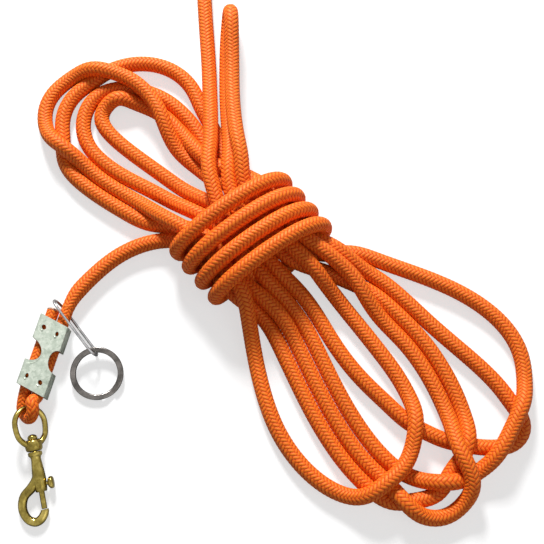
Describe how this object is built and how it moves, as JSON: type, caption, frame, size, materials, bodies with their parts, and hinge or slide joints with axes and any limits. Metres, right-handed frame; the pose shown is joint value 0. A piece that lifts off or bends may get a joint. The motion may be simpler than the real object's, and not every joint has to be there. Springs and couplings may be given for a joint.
{
  "type": "training leash",
  "caption": "Round braided rope training leash wound into a wrapped hank, with a swivel bolt snap held by a metal rope clamp and a split ring on a wire link.",
  "frame": {"origin": "middle of the flat back of the clamp's band next to the snap, on the plane the leash lies on", "axes": "-Z is out of the clamp's back into that plane; +Y runs roughly from the snap along the clamp towards the hank, +X from the clamp across to the hank"},
  "size_m": [0.2887, 0.3941, 0.036],
  "materials": {
    "rope": "braided polyester cover, matt, bright orange",
    "rope_end": "melted rope end, slightly glossy",
    "brass": "cast brass, worn satin with an olive tone",
    "zinc_steel": "zinc-plated sheet steel, dull and mottled",
    "ring_steel": "nickel-plated steel, dark reflections",
    "spring_steel": "bright spring wire"
  },
  "bodies": {
    "leash": {"rope_clamp": "zinc_steel", "rope_eye": "rope", "rope_end_seal": "rope_end", "rope_tail": "rope", "hank_wraps": "rope", "hank_upper_fan": "rope", "hank_lower_fan": "rope", "hank_bight": "rope", "rope_lead": "rope", "end_knot": "rope"},
    "eye": {"swivel_eye": "brass"},
    "snap": {"snap_body": "brass", "swivel_rivet": "brass", "bolt_spring": "spring_steel"},
    "bolt": {"snap_bolt": "brass", "thumb_knob": "brass"},
    "link": {"wire_link": "ring_steel"},
    "ring": {"split_ring": "ring_steel"}
  },
  "joints": [
    {"name": "eye_swing", "type": "hinge", "parent": "leash", "child": "eye", "pos_m": [-0.00364, -0.01612, 0.0082], "axis": [-0.7894, -0.2259, 0.5708], "range_deg": [-35, 35]},
    {"name": "snap_swivel", "type": "hinge", "parent": "eye", "child": "snap", "pos_m": [0.00132, -0.03948, 0.00582], "axis": [-0.2069, 0.9733, 0.0991], "continuous": true},
    {"name": "bolt_slide", "type": "slide", "parent": "snap", "child": "bolt", "axis": [-0.2069, 0.9733, 0.0991], "range_m": [0, 0.0075], "stiffness_N_per_m": 500, "springref_m": -0.003, "deforming": ["bolt_spring"]},
    {"name": "link_swing", "type": "hinge", "parent": "leash", "child": "link", "pos_m": [0.01448, 0.03641, 0.006], "axis": [-0.279, -0.9603, 0], "range_deg": [0, 25]},
    {"name": "ring_swing", "type": "hinge", "parent": "link", "child": "ring", "pos_m": [0.03019, 0.01644, 0.00527], "axis": [-0.9781, -0.2079, 0], "range_deg": [0, 90]}
  ]
}
